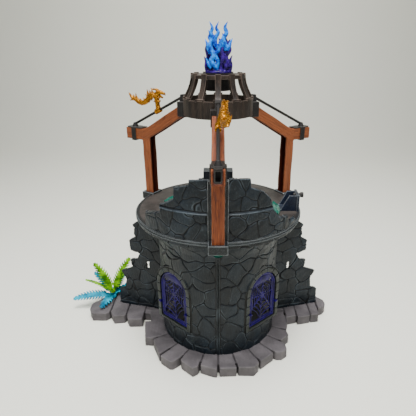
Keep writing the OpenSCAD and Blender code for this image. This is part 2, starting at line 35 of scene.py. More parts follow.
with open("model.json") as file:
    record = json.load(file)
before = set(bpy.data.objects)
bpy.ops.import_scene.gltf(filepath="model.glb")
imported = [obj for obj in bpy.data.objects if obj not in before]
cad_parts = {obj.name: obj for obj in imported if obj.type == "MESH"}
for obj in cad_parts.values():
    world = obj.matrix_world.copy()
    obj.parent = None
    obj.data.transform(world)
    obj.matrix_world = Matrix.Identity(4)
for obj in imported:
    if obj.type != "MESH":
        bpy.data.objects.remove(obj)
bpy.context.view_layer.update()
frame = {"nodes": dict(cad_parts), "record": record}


# ---- base paving ----
# The foot of the tower is one vinyl moulding that imitates rough blocks laid round the wall. It is
# a matt mauve-grey, scuffed on the top edges, and every other piece plugs into it or stands on it.
# Its floor inside the wall and at the back is painted near-black as shadow.

MM = 0.001
WALL_R = 78.0
BASE_H = 15.0
BLOCK_EASE = 0.9
BLOCK_DROP = 0.9
BLOCK_TUCK = 9
SIDES = ((-1, "left"), (1, "right"))
# Blocks in front: corners of the outer edge, as azimuth from the front and distance outside the wall
FRONT_BLOCKS = [
    [(-84, 27), (-65, 31), (-62, 22)], [(-60.5, 22), (-44.4, 29)],
    [(-43, 30), (-34, 30), (-32, 27), (-30, 16)], [(-28.7, 20), (-27, 22), (-17, 28), (-14, 22)],
    [(-13, 20), (-4, 23.5), (-0.5, 24.5)], [(0.8, 23), (13, 24.5)],
    [(14, 24.5), (24, 31), (29, 27), (29.8, 22)], [(30.8, 25.5), (44, 24.5)],
    [(45.2, 25.5), (48, 31.5), (53, 34), (57.5, 27)], [(58.8, 20), (67, 26), (72, 21)],
    [(73, 21), (86, 22), (97, 16)],
]
BACK_BLOCKS = [
    [(98, 40), (107, 52), (117, 50)], [(118.2, 60), (128, 60), (136.6, 53)],
    [(137.8, 54), (150.4, 39.5)], [(151.4, 38), (165.4, 23)], [(166.6, 20), (179.6, 14)],
    [(-179.4, 14), (-166.6, 22)], [(-165.4, 24), (-151.4, 38)], [(-150.4, 39.5), (-138.2, 57)],
    [(-137, 60), (-127, 70), (-118, 70)], [(-117, 52), (-107, 50), (-97, 38)],
]
# Slabs under the wing walls: corners of the front edge in mm, and y of the back edge at each end
SLABS = [
    ([(98, -4), (113.5, 1)], 84, 79), ([(115, -3), (134, 1)], 78, 72),
    ([(135.2, 2), (147.6, 4)], 70, 55), ([(149.2, 17), (157, 21), (162.5, 28)], 52, 38),
    ([(-133, 1), (-128, -8), (-108.5, -7)], 87, 92),
    ([(-158.6, 10), (-152, -1), (-136, 1), (-134.4, 4)], 72, 85),
    ([(-192, 17), (-185, 6), (-165, 6), (-160, 10)], 30, 68),
]


def screen(red, green, blue):
    """A colour given from 0 to 255 as it looks on a screen, turned into light."""
    return ((red / 255) ** 2.2, (green / 255) ** 2.2, (blue / 255) ** 2.2, 1)


def put(tree, socket, value):
    """Links another node's output to a socket, or sets the socket to a plain value."""
    if isinstance(value, bpy.types.NodeSocket):
        tree.links.new(value, socket)
    else:
        socket.default_value = value


def mottle(tree, place, size, detail=3.0):
    """Soft random patches, a given number of mm across."""
    node = tree.nodes.new("ShaderNodeTexNoise")
    put(tree, node.inputs["Vector"], place)
    node.inputs["Scale"].default_value = 1 / size
    node.inputs["Detail"].default_value = detail
    return node.outputs["Fac"]


def ramp(tree, value, low, high, start=0.0, end=1.0):
    node = tree.nodes.new("ShaderNodeMapRange")
    for socket, setting in zip(node.inputs, (value, low, high, start, end)):
        put(tree, socket, setting)
    return node.outputs[0]


def times(tree, first, second):
    node = tree.nodes.new("ShaderNodeMath")
    node.operation = "MULTIPLY"
    put(tree, node.inputs[0], first)
    put(tree, node.inputs[1], second)
    return node.outputs[0]


def blend(tree, share, first, second):
    node = tree.nodes.new("ShaderNodeMixRGB")
    for socket, setting in zip(node.inputs, (share, first, second)):
        put(tree, socket, setting)
    return node.outputs[0]


def mark(tree, name, output="Fac"):
    """A value that was stored on the mesh when the piece was shaped."""
    node = tree.nodes.new("ShaderNodeAttribute")
    node.attribute_name = name
    return node.outputs[output]


def plastic(name, body, deep, pale_wear_and_highlight, roughness, **more):
    """Moulded plastic: patchy colour, dark in the joints, paler on the marked edges as scuffing and as
    painted highlight, with a fine grain.
    """
    look = dict(patch=16.0, grain=0.7, bump=0.35, along=(1, 1, 1), metal=0.0, coat=0.0, shade=0.0,
                wear=0.6, trim=None, patchy=0.45, gloss=0.25)
    look.update(more)
    material = bpy.data.materials.new(name)
    material.use_nodes = True
    tree = material.node_tree
    shader = tree.nodes["Principled BSDF"]
    stretch = tree.nodes.new("ShaderNodeMapping")
    stretch.inputs["Scale"].default_value = [side / MM for side in look["along"]]
    put(tree, stretch.inputs["Vector"], tree.nodes.new("ShaderNodeTexCoord").outputs["Object"])
    place = stretch.outputs[0]
    patches = mottle(tree, place, look["patch"], 5)
    grain = mottle(tree, place, look["grain"], 4)
    colour = blend(tree, ramp(tree, patches, 0.62, 0.36, 0, look["patchy"]), body, deep)
    # The fine grain speckles the colour paler; on the blue flame this pale is painted highlight.
    colour = blend(tree, ramp(tree, grain, 0.54, 0.78, 0, 0.25), colour, pale_wear_and_highlight)
    # A second colour where the mesh is marked: the stone window surround on the walls, and painted shadow
    # on the paving floor.
    if look["trim"]:
        colour = blend(tree, mark(tree, "trim"), colour, look["trim"])
    if look["shade"]:
        tone = tree.nodes.new("ShaderNodeHueSaturation")
        reach = look["shade"]
        put(tree, tone.inputs["Value"], ramp(tree, mark(tree, "shade"), 0, 1, 1 - reach, 1 + reach))
        put(tree, tone.inputs["Color"], colour)
        colour = tone.outputs[0]
    # Marked edges go paler: scuffing on some pieces, painted highlight on others.
    rubbed_and_highlit = times(tree, mark(tree, "edge"), ramp(tree, mottle(tree, place, 5.0), 0.35, 0.6, 0.25, 1))
    colour = blend(tree, times(tree, rubbed_and_highlit, look["wear"]), colour, pale_wear_and_highlight)
    colour = blend(tree, mark(tree, "joint"), colour, deep)
    put(tree, shader.inputs["Base Color"], colour)
    put(tree, shader.inputs["Roughness"], ramp(tree, grain, 0.3, 0.7, roughness - 0.08, roughness + 0.1))
    shader.inputs["Specular IOR Level"].default_value = look["gloss"]
    shader.inputs["Metallic"].default_value = look["metal"]
    shader.inputs["Coat Weight"].default_value = look["coat"]
    shader.inputs["Coat Roughness"].default_value = 0.15
    bump = tree.nodes.new("ShaderNodeBump")
    bump.inputs["Strength"].default_value = look["bump"]
    bump.inputs["Distance"].default_value = 0.25 * MM
    put(tree, bump.inputs["Height"], grain)
    put(tree, shader.inputs["Normal"], bump.outputs[0])
    return material


def new_piece(name, shape):
    """Turns a drawn shape into a piece of the scene."""
    bmesh.ops.recalc_face_normals(shape, faces=shape.faces)
    mesh = bpy.data.meshes.new(name)
    shape.to_mesh(mesh)
    shape.free()
    piece = bpy.data.objects.new(name, mesh)
    bpy.context.scene.collection.objects.link(piece)
    return piece


def fix_shape(piece):
    """Makes a piece's modifiers part of its mesh."""
    done = bpy.data.meshes.new_from_object(piece.evaluated_get(bpy.context.evaluated_depsgraph_get()))
    piece.modifiers.clear()
    rough = piece.data
    piece.data = done
    bpy.data.meshes.remove(rough)


def skin(piece, grain):
    """Welds a piece's solids into one even skin with points a grain apart, and softens its edges."""
    cover = piece.modifiers.new("skin", "REMESH")
    cover.mode = "VOXEL"
    cover.voxel_size = grain * MM * 1
    ease = piece.modifiers.new("ease", "SMOOTH")
    ease.factor = 0.5
    ease.iterations = 1
    fix_shape(piece)
    piece.data.shade_smooth()


def carve(piece, rule):
    """Moves each point along its normal by the rule's height in mm, and stores the rule's marks."""
    mesh = piece.data
    count = len(mesh.vertices)
    place = np.empty(count * 3, dtype=np.float32)
    mesh.vertices.foreach_get("co", place)
    place = place.reshape(-1, 3).astype(float)
    normal = np.empty(count * 3, dtype=np.float32)
    mesh.vertex_normals.foreach_get("vector", normal)
    normal = normal.reshape(-1, 3).astype(float)
    height, marks = rule(place / MM, normal)
    moved = place + normal * height[:, None] * MM
    mesh.vertices.foreach_set("co", moved.astype(np.float32).ravel())
    for name, values in marks.items():
        flat = values.ndim == 1
        store = mesh.attributes.new(name, "FLOAT" if flat else "FLOAT_VECTOR", "POINT")
        store.data.foreach_set("value" if flat else "vector", values.astype(np.float32).ravel())
    mesh.update()


def swell(points, size, seed):
    """A smooth random swell from about -1 to 1, with humps about one size across."""
    luck = np.random.default_rng(seed)
    total = np.zeros(len(points))
    for _ in range(8):
        wave = luck.normal(size=points.shape[1])
        wave *= math.pi * luck.uniform(0.7, 1.5) / (size * np.linalg.norm(wave))
        total += np.sin(points @ wave + luck.uniform(0, 2 * math.pi))
    return total / 2.8


def stones(u, v, width, height, seed):
    """Rough coursed stones: each point's distance to the nearest joint, and its stone's own number."""
    luck = np.random.default_rng(seed)
    flat = np.stack([u, v], axis=1)
    u = u + 0.15 * width * swell(flat, width * 0.8, seed + 1)
    v = v + 0.2 * height * swell(flat, width * 0.7, seed + 2)
    middles = []
    for row in range(int(v.min() // height) - 1, int(v.max() // height) + 3):
        for column in range(int(u.min() // width) - 1, int(u.max() // width) + 3):
            across = column + 0.5 * (row % 2) + luck.uniform(-0.32, 0.32)
            middles.append((across * width, (row + luck.uniform(-0.3, 0.3)) * height))
    middles = np.array(middles)
    number = luck.random(len(middles))
    gap = np.empty(len(u))
    own = np.empty(len(u))
    for start in range(0, len(u), 8192):
        part = slice(start, start + 8192)
        away = (u[part, None] - middles[:, 0]) ** 2 + (v[part, None] - middles[:, 1]) ** 2
        order = np.argpartition(away, 1, axis=1)[:, :2]
        near = np.take_along_axis(away, order, axis=1)
        span = np.linalg.norm(middles[order[:, 0]] - middles[order[:, 1]], axis=1)
        gap[part] = (near[:, 1] - near[:, 0]) / (2 * span)
        own[part] = number[order[:, 0]]
    return gap, own


def close(distance, width):
    """1 on a line, falling softly to 0 a width or two away."""
    return np.exp(-((distance / width) ** 2))


def block(shape, outline, low, high, ease):
    """Adds a block with a drawn outline in mm and softly bevelled edges."""
    one = bmesh.new()
    bottom = [one.verts.new((x * MM, y * MM, low * MM)) for x, y in outline]
    top = [one.verts.new((x * MM, y * MM, high * MM)) for x, y in outline]
    one.faces.new(top)
    one.faces.new(bottom[::-1])
    for i in range(len(top)):
        j = (i + 1) % len(top)
        one.faces.new((bottom[i], bottom[j], top[j], top[i]))
    bmesh.ops.recalc_face_normals(one, faces=one.faces)
    bmesh.ops.bevel(one, geom=one.edges[:], offset=ease * MM, segments=3, profile=0.5,
                    affect="EDGES", clamp_overlap=True)
    mesh = bpy.data.meshes.new("block")
    one.to_mesh(mesh)
    one.free()
    shape.from_mesh(mesh)
    bpy.data.meshes.remove(mesh)


def settle(piece, body, slot, material, *nodes):
    """Gives a piece its material and its moving body, and hides the CAD nodes that it stands for."""
    piece.data.materials.clear()
    piece.data.materials.append(material)
    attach(piece, body)
    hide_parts(*nodes)


def around(azimuth, radius):
    turn = math.radians(azimuth)
    return (radius * math.sin(turn), -radius * math.cos(turn))


def paving():
    luck = np.random.default_rng(7)
    shape = bmesh.new()
    core = []
    for corners in FRONT_BLOCKS + BACK_BLOCKS:
        first, last = corners[0][0], corners[-1][0]
        rim = [around(azimuth, WALL_R + out) for azimuth, out in corners]
        foot = [around(last, WALL_R - BLOCK_TUCK), around(first, WALL_R - BLOCK_TUCK)]
        block(shape, rim + foot, 0, BASE_H - luck.uniform(0, BLOCK_DROP), BLOCK_EASE)
        core.append(((first + last) / 2, min(out for azimuth, out in corners) - 5))
    for corners, back0, back1 in SLABS:
        outline = corners + [(corners[-1][0], back1), (corners[0][0], back0)]
        block(shape, outline, 0, BASE_H - luck.uniform(0, BLOCK_DROP), BLOCK_EASE)
    core.sort()
    block(shape, [around(azimuth, WALL_R + reach) for azimuth, reach in core], 0, BASE_H - 1.2, 0.8)
    for side, reach in ((1, 150), (-1, 176)):
        outline = [(side * 80, 5), (side * reach * 0.9, 14), (side * reach, 36), (side * 125, 68)]
        block(shape, outline, 0, BASE_H - 1.6, 0.8)
    return new_piece("base_paving", shape)


def paving_joint(x, y):
    """Each point's distance in mm to the nearest joint between blocks or slabs."""
    azimuth = np.degrees(np.arctan2(x, -y))
    radius = np.hypot(x, y)
    blocks = FRONT_BLOCKS + BACK_BLOCKS
    gap = np.full(len(x), 50.0)
    for one, following in zip(blocks, blocks[1:]):
        if following[0][0] > one[-1][0]:
            middle = (one[-1][0] + following[0][0]) / 2
            gap = np.minimum(gap, np.abs(azimuth - middle) * np.pi / 180 * radius)
    gap = np.where((np.abs(x) > 97) | (radius < WALL_R), 50, gap)
    for corners, *_ in SLABS:
        for end in (corners[0][0] - 0.6, corners[-1][0] + 0.6):
            gap = np.minimum(gap, np.abs(x - end))
    return gap


def paving_relief(place, normal):
    x, y, z = place.T
    radius = np.hypot(x, y)
    upward = normal[:, 2]
    between = close(paving_joint(x, y) + 0.15 * swell(place, 6, 8), 0.75)
    gap, _ = stones(x, y, 26, 22, 3)
    inside = radius < WALL_R - 6
    joint = np.where(inside & (upward > 0.5), close(gap, 0.8), 0)
    joint = np.maximum(joint, np.clip((BASE_H - 1.9 - z) / 1.5, 0, 1) * (upward > 0.6))
    height = 0.2 * swell(place, 9, 4) + 0.1 * swell(place, 2.4, 5) - 0.2
    height = height - 0.7 * joint * inside - 0.8 * between
    height = np.where(z < 0.5, 0, height)
    upper = np.clip((z - BASE_H + 2.2) / 1.4, 0, 1) * np.clip(1.25 * (1 - upward), 0, 1)
    shade = 0.5 + 0.5 * swell(np.stack([x, y], axis=1), 24, 6)
    azimuth = np.degrees(np.arctan2(np.abs(x), -y))
    # The floor inside the wall and at the back is marked for painted shadow, and gets no pale edges.
    painted_shadow_floor = (inside | ((azimuth > 117) & (z > 10))) & (upward > 0.3)
    return height, {"joint": np.maximum(0.8 * joint, 0.95 * between), "edge": upper * ~painted_shadow_floor,
                    "shade": np.clip(shade, 0, 1), "trim": 0.9 * painted_shadow_floor}


# The last colour is painted shadow, laid on the floor inside the wall and at the back.
paving_stone = plastic("paving_stone", screen(90, 86, 88), screen(38, 36, 38), screen(118, 114, 113),
                       0.62, patch=22, grain=1.1, bump=0.6, shade=0.1, wear=0.5,
                       trim=screen(20, 19, 21))
base = paving()
skin(base, 0.8)
carve(base, paving_relief)
settle(base, "tower", "paving", paving_stone, "base_plate")


# ---- lower wall ----
# The round wall is two half shells that meet on a raised double seam at the front. They are dark
# slate plastic with large rough stones cut into them, and a dressed stone surround at each window.

STONE_W, STONE_H = 25, 16.5
CORBEL_Z = 146.0
WINDOW_AZ = 41.0
WINDOW_W, WINDOW_H = 47.0, 72.0
WINDOW_SHIFT = WINDOW_W * 0.18
SILL_Z = 46.0
ARCH_Z = SILL_Z + WINDOW_H - WINDOW_W / 2
SURROUND_W = 6.5
VOUSSOIR = 13.0


def cad_shape(*nodes):
    """The solids of some CAD nodes, joined in one drawing."""
    shape = bmesh.new()
    for node in nodes:
        shape.from_mesh(frame["nodes"][node].data)
    bmesh.ops.remove_doubles(shape, verts=shape.verts, dist=0.002 * MM)
    return shape


def stone_relief(place, gap, own, seed):
    """Heights and marks of rough stone faces, from the distance to their joints."""
    face = 0.16 * swell(place, 5, seed) + 0.09 * swell(place * [1, 1, 0.4], 1.6, seed + 1)
    height = 0.7 * face - 1.1 * close(gap, 0.6) - 0.16 * np.exp(-gap / 1.2) - 0.3 * own
    # Joints go dark; the pale rim just outside each joint is scuffing and painted highlight.
    marks = {"joint": np.clip(1.3 * close(gap, 0.55), 0, 1), "shade": own,
             "edge": 0.9 * close(gap - 1.2, 0.5) * np.clip(0.5 + swell(place, 12, seed + 2), 0, 1)}
    return height, marks


def window_place(x, y, side):
    """A point's place across a window's face and out from it."""
    turn = math.radians(WINDOW_AZ)
    x = -side * x
    across = x * math.cos(turn) - y * math.sin(turn) + WINDOW_SHIFT
    out = -x * math.sin(turn) - y * math.cos(turn)
    return across, out


def wall_relief(side):
    def rule(place, normal):
        x, y, z = place.T
        azimuth = np.arctan2(x, -y)
        gap, own = stones(azimuth * WALL_R + 200, z, STONE_W, STONE_H, 21 + side)
        line = z - CORBEL_Z + 1.6 * np.sin(azimuth * 9) + 1.0 * np.sin(azimuth * 23)
        gap = np.minimum(gap, np.abs(line))
        across, out = window_place(x, y, side)
        arched = z > ARCH_Z
        reach = np.where(arched, np.hypot(across, z - ARCH_Z), np.abs(across))
        run = np.where(arched, ARCH_Z + np.arctan2(z - ARCH_Z, np.abs(across)) * 28, z) - SILL_Z + 4
        trim = (reach < WINDOW_W / 2 + SURROUND_W + 0.6) & (out > WALL_R - 6) & (z > SILL_Z - 4.6)
        beat = np.mod(run, VOUSSOIR)
        cut = np.minimum(beat, VOUSSOIR - beat)
        rim = np.abs(reach - WINDOW_W / 2 - SURROUND_W)
        own = np.where(trim, 0.25 + 0.5 * np.mod(np.floor(run / VOUSSOIR) * 0.37, 1), own)
        gap = np.where(trim, np.minimum(cut, rim), gap)
        seam = np.abs(x)
        front = (y < 0) & (seam < 2.8)
        gap = np.where(front, np.minimum(np.abs(seam - 2.6), seam + 0.15), gap)
        own = np.where(front, 0.1, own)
        height, marks = stone_relief(place, gap, own, 31)
        level = np.abs(normal[:, 2]) > 0.9
        flush = (seam < 1.2) & (np.abs(normal[:, 0]) > 0.6)
        height = np.where(flush, seam / np.maximum(np.abs(normal[:, 0]), 0.6), height)
        marks["trim"] = trim * 1.0
        marks["edge"] = np.maximum(marks["edge"], 0.4 * front * close(seam - 1.3, 0.5))
        return np.where(level & ~flush, 0, height), marks
    return rule


def carved_pair(title, node, relief):
    """Makes a left and a right slate piece from their CAD nodes, and cuts the stones into them."""
    for side, name in SIDES:
        piece = new_piece(f"{title}_{name}", cad_shape(f"{node}_{name}"))
        skin(piece, 0.6)
        carve(piece, relief(side))
        settle(piece, "tower", "dark_stone", slate, f"{node}_{name}")


slate = plastic("slate", screen(22, 30, 37), screen(4, 5, 6), screen(88, 98, 104), 0.4,
                patch=18, grain=0.9, bump=0.8, along=(1, 1, 0.4), shade=0.3, wear=0.6,
                trim=screen(36, 40, 37), gloss=0.25, patchy=0.6)
carved_pair("lower_wall", "front_wall", wall_relief)


# ---- window grilles ----
# Each window holds a glossy purple grille that is moulded flat: a double frame with a tab at each
# jamb, and a sagging web of round strands on eight spokes, closed by a thin sheet at the top.

WEB_RINGS = (0.17, 0.33, 0.52, 0.74, 0.94)
SPOKES = 8
GRILLE_IN = 3.5


def flowing(controls, steps=6):
    """A smooth run through the controls; each control is a place in mm and a thickness."""
    points = [np.array(control, dtype=float) for control in controls]
    points = [2 * points[0] - points[1]] + points + [2 * points[-1] - points[-2]]
    run = []
    for a, b, c, d in zip(points, points[1:], points[2:], points[3:]):
        for i in range(steps):
            t = i / steps
            run.append(0.5 * (2 * b + (c - a) * t + (2 * a - 5 * b + 4 * c - d) * t ** 2
                              + (3 * b - a - 3 * c + d) * t ** 3))
    run.append(points[-2])
    return run


def tube(shape, run, sides=10, flat=1.0, across=None):
    """Sweeps a round or flattened section along a run, and closes both ends."""
    rings = []
    side = across
    for i, point in enumerate(run):
        ahead = Vector(run[min(i + 1, len(run) - 1)][:3]) - Vector(run[max(i - 1, 0)][:3])
        ahead.normalize()
        if side is None:
            side = ahead.orthogonal()
        side = (side - ahead * side.dot(ahead)).normalized()
        up = ahead.cross(side)
        radius = max(point[3], 0.08)
        ring = []
        for k in range(sides):
            turn = 2 * math.pi * k / sides
            offset = side * (math.cos(turn) * radius) + up * (math.sin(turn) * radius * flat)
            ring.append(shape.verts.new((Vector(point[:3]) + offset) * MM))
        rings.append(ring)
    for a, b in zip(rings, rings[1:]):
        for k in range(sides):
            j = (k + 1) % sides
            shape.faces.new((a[k], a[j], b[j], b[k]))
    shape.faces.new(rings[0][::-1])
    shape.faces.new(rings[-1])


def web_grille(side, name):
    turn = math.radians(WINDOW_AZ)

    def spot(across, z, out=0.0):
        u = across - WINDOW_SHIFT
        out = out + WALL_R - GRILLE_IN
        x = u * math.cos(turn) - out * math.sin(turn)
        y = -u * math.sin(turn) - out * math.cos(turn)
        return (-side * x, y, z)

    def arch(inset):
        half = WINDOW_W / 2 - 0.1 - inset
        foot = SILL_Z + 0.1 + inset
        path = [(-half, foot), (-half, (foot + ARCH_Z) / 2)]
        path += [(-half * math.cos(math.pi * i / 16), ARCH_Z + half * math.sin(math.pi * i / 16))
                 for i in range(17)]
        path += [(half, (foot + ARCH_Z) / 2), (half, foot), (-half, foot)]
        return path

    def edge_reach(angle, centre):
        """How far a spoke runs before it meets the inner frame."""
        half = WINDOW_W / 2 - 4.5
        reach = 1.0
        while reach < 60:
            u = reach * math.cos(angle)
            z = centre + reach * math.sin(angle)
            over = math.hypot(u, z - ARCH_Z) > half if z > ARCH_Z else abs(u) > half
            if over or z < SILL_Z + 4:
                break
            reach += 0.5
        return reach

    shape = bmesh.new()
    top = SILL_Z + WINDOW_H - 8.6
    sheet = [(*spot(-14, top - 4), 3.0), (*spot(-8, top - 0.8), 5.0), (*spot(0, top), 5.6),
             (*spot(8, top - 0.8), 5.0), (*spot(14, top - 4), 3.0)]
    tube(shape, flowing(sheet, 3), 16, 0.24, Vector((0, 0, 1)))
    for inset, thick, out in ((1.5, 1.4, 0.1), (4.6, 1.15, -0.2)):
        path = arch(inset)
        for (u0, z0), (u1, z1) in zip(path, path[1:]):
            tube(shape, [(*spot(u0, z0, out), thick), (*spot(u1, z1, out), thick)], 10)
    centre = SILL_Z + WINDOW_H * 0.56
    ends = []
    for i in range(SPOKES):
        angle = 2 * math.pi * (i + 0.12 * math.sin(2.7 * i)) / SPOKES + 0.12
        reach = edge_reach(angle, centre)
        ends.append((angle, reach))
        tip = (reach * math.cos(angle), centre + reach * math.sin(angle))
        tube(shape, [(*spot(0, centre), 1.0), (*spot(*tip), 0.85)], 8)
    for ring in WEB_RINGS:
        for (a0, r0), (a1, r1) in zip(ends, ends[1:] + ends[:1]):
            p0 = (ring * r0 * math.cos(a0), centre + ring * r0 * math.sin(a0))
            p1 = (ring * r1 * math.cos(a1), centre + ring * r1 * math.sin(a1))
            mid = (0.46 * (p0[0] + p1[0]), centre + 0.46 * (p0[1] + p1[1] - 2 * centre))
            run = flowing([(*spot(*p0), 0.75), (*spot(*mid), 0.68), (*spot(*p1), 0.75)], 4)
            tube(shape, run, 8)
    for jamb in (-1, 1):
        z = SILL_Z + WINDOW_H * 0.3
        u = jamb * (WINDOW_W / 2 - 0.6)
        tube(shape, [(*spot(u, z, -0.6), 1.7), (*spot(u, z, 4.6), 1.9)], 4)
        tube(shape, [(*spot(u - 1.4 * jamb, z, 4.2), 1.5), (*spot(u + 2.6 * jamb, z + 1, 4.2), 1.1)], 6)
    return new_piece(name, shape)


grille_purple = plastic("grille_purple", screen(28, 4, 84), screen(8, 1, 34), screen(66, 26, 146),
                        0.34, patch=10, grain=1.4, bump=0.2, gloss=0.14, wear=0.4, patchy=0.8)
for side, name in SIDES:
    grille = web_grille(side, f"web_grille_{name}")
    skin(grille, 0.42)
    settle(grille, "tower", "purple_grille", grille_purple, f"window_grille_{name}")


# ---- wing walls ----
# A flat broken wall leans back from each side of the tower. It is one slate plate with stones cut
# into both faces, a slit for a loop, and a foot that plugs into the base.

WING_SWEEP = math.radians(15.4)
PLINTH = 5.0


def wing_relief(side):
    def rule(place, normal):
        x, y, z = place.T
        along = side * x * math.cos(WING_SWEEP) + y * math.sin(WING_SWEEP)
        gap, own = stones(along + 40, z, 24, 17, 43 + side)
        gap = np.minimum(gap, np.abs(z - BASE_H - PLINTH + 0.6 * np.sin(along / 6)))
        return stone_relief(place, gap, own, 47)
    return rule


carved_pair("wing", "wing_wall", wing_relief)


# ---- deck ----
# The floor of the upper storey is a separate disc that drops onto the corbel. It is brown-grey and
# scuffed, with a dark rim whose two moulded edges show as fine pale lines of painted highlight.

RIM_R = 104.0
RIM_BAND = 5.0


def eased(name, nodes, width):
    """Copies CAD nodes as one piece with crisp eased edges; the eased faces are marked as edges, which
    the materials paint paler: scuffing on most pieces, painted highlight on the deck and the navy
    bracket.
    """
    shape = cad_shape(*nodes)
    bmesh.ops.dissolve_limit(shape, angle_limit=math.radians(1), verts=shape.verts, edges=shape.edges)
    layer = shape.faces.layers.float.new("edge")
    sharp = [edge for edge in shape.edges
             if edge.is_manifold and edge.calc_face_angle() > math.radians(28)]
    made = bmesh.ops.bevel(shape, geom=sharp, offset=width * MM, segments=2, profile=0.6,
                           affect="EDGES", clamp_overlap=False)
    for face in made["faces"]:
        face[layer] = 1
    piece = new_piece(name, shape)
    piece.data.shade_smooth()
    piece.data.set_sharp_from_angle(angle=math.radians(24))
    return piece


def deck_floor_material():
    """The floor's plastic: a dark band round the rim, picked out by its distance from the middle, and
    painted highlight on the eased edges.
    """
    material = plastic("deck_plastic", screen(60, 55, 52), screen(30, 27, 25), screen(130, 126, 122),
                       0.6, patch=14, grain=1.2, bump=0.5, wear=0.0, patchy=0.8)
    tree = material.node_tree
    length = tree.nodes.new("ShaderNodeVectorMath")
    length.operation = "LENGTH"
    flat = tree.nodes.new("ShaderNodeVectorMath")
    flat.operation = "MULTIPLY"
    flat.inputs[1].default_value = (1, 1, 0)
    put(tree, flat.inputs[0], tree.nodes.new("ShaderNodeTexCoord").outputs["Object"])
    put(tree, length.inputs[0], flat.outputs[0])
    shader = tree.nodes["Principled BSDF"]
    colour = shader.inputs["Base Color"].links[0].from_socket
    inner = RIM_R - RIM_BAND
    band = ramp(tree, length.outputs["Value"], inner * MM, (inner + 0.6) * MM, 0, 0.92)
    colour = blend(tree, band, colour, screen(22, 24, 26))
    # The eased edges take a pale grey: painted highlight.
    put(tree, shader.inputs["Base Color"], blend(tree, mark(tree, "edge"), colour, screen(104, 110, 112)))
    return material


floor_disc = eased("deck_disc", ["deck"], 0.2)
settle(floor_disc, "tower", "deck_floor", deck_floor_material(), "deck")


# ---- parapet ----
# Two broken lengths of wall stand on the deck's edge either side of the front post. They are slate
# plastic like the lower wall, and their foot is thicker up to a ledge. A pale line along the ledge
# and the upward-tilted tops of the broken crest are painted highlight.

PARAPET_R = 102.0
LEDGE_RISE = 31.3
deck_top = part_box("deck")[1].z / MM


def parapet_relief(side):
    def rule(place, normal):
        x, y, z = place.T
        azimuth = np.arctan2(x, -y)
        radius = np.hypot(x, y)
        gap, own = stones(azimuth * PARAPET_R + 300, z, 20, 15, 61 + side)
        ledge = z - deck_top - LEDGE_RISE
        outer = radius > PARAPET_R - 1
        gap = np.where(outer, np.minimum(gap, np.abs(ledge - 1.6)), gap)
        lip = outer & (np.abs(ledge) < 1.4)
        gap = np.where(lip, np.maximum(gap, 3), gap)
        height, marks = stone_relief(place, gap, own, 67)
        # A pale line along the ledge is painted highlight.
        marks["edge"] = np.maximum(marks["edge"], 0.9 * lip * close(ledge + 0.5, 0.6))
        # Faces near the crest's top that tilt upwards are painted paler as highlight.
        tilt = np.clip(1.6 * normal[:, 2] * (1.1 - normal[:, 2]) * 4, 0, 1)
        highlit_crest = outer & (ledge > 3) & (normal[:, 2] > 0.25) & (normal[:, 2] < 0.93)
        marks["edge"] = np.maximum(marks["edge"], 1.2 * highlit_crest * tilt)
        return np.where(lip, 0, height), marks
    return rule


carved_pair("broken_parapet", "parapet", parapet_relief)


# ---- post channel and sockets ----
# A dark plate with two rails backs the front post, and a square socket clips over the rim under
# each post. They are satin near-black plastic with paler moulded edges.

trim_plastic = plastic("trim_plastic", screen(27, 30, 32), screen(10, 11, 12), screen(140, 146, 148),
                       0.42, patch=9, grain=0.8, bump=0.3, wear=1.0)
channel = eased("front_channel", ["post_channel"], 0.35)
settle(channel, "tower", "dark_trim", trim_plastic, "post_channel")
for name in ("front", "left", "right"):
    socket = eased(f"socket_{name}", [f"post_socket_{name}"], 0.35)
    settle(socket, "tower", "dark_trim", trim_plastic, f"post_socket_{name}")


# ---- timber frame ----
# Each post is one hollow moulding with its stub arm and rafter, open at the back. The plastic is
# red-brown with a lengthwise wood grain, and the inside of the hollow is painted dark as shade.

POST_AZ = {"front": 0, "left": -120, "right": 120}
POST_OUT = 112.9
POST_HALF = 6.5
TIMBER_T = 1.3
ARM_H = 15
SLOPE = math.radians(30.6)
RAFTER_H = 13.7
RAFTER_OUT = 108.5


def timber_relief(azimuth, stub_top):
    turn = math.radians(azimuth)

    def rule(place, normal):
        x, y, z = place.T
        out = x * math.sin(turn) - y * math.cos(turn)
        side = x * math.cos(turn) + y * math.sin(turn)
        slant = -out * math.cos(SLOPE) + z * math.sin(SLOPE)
        under = z * math.cos(SLOPE) + out * math.sin(SLOPE)
        arm = (out > POST_OUT - 0.6) & (z > stub_top - ARM_H - 1)
        roof = stub_top * math.cos(SLOPE) + RAFTER_OUT * math.sin(SLOPE)
        rafter = ~arm & (under > roof - RAFTER_H)
        along = np.where(arm, out, np.where(rafter, slant, z))
        depth = np.where(arm, z, np.where(rafter, under, out))
        grain = np.stack([side, depth, along / 16 + 9 * arm + 17 * rafter], axis=1)
        grain = grain + 0.5 * swell(grain, 3, 71)[:, None]
        lines = swell(grain, 0.75, 72)
        splits = close(swell(grain, 1.6, 73), 0.09) * (swell(grain, 4, 74) > 0.1)
        below_top = np.where(arm, stub_top - z, 50)
        floor_of_arm = np.where(arm, z - stub_top + ARM_H, np.where(rafter, 50, POST_OUT - out))
        ceiling = np.where(rafter, roof - under, 50)
        hollow = (np.abs(side) < POST_HALF - TIMBER_T) & (floor_of_arm > TIMBER_T) & (ceiling > TIMBER_T)
        hollow &= np.where(arm & (out < POST_OUT + 4), below_top > TIMBER_T, True)
        height = 0.2 * lines - 0.15 - 0.45 * splits * ~hollow
        corner = np.abs(side) > POST_HALF - 0.9
        # The joint mark holds the grain splits and painted shade over the hollow's inside.
        marks = {"joint": np.clip(0.72 * hollow + 0.6 * splits, 0, 1), "edge": 0.5 * corner * ~hollow,
                 "grain": grain}
        return height, marks
    return rule


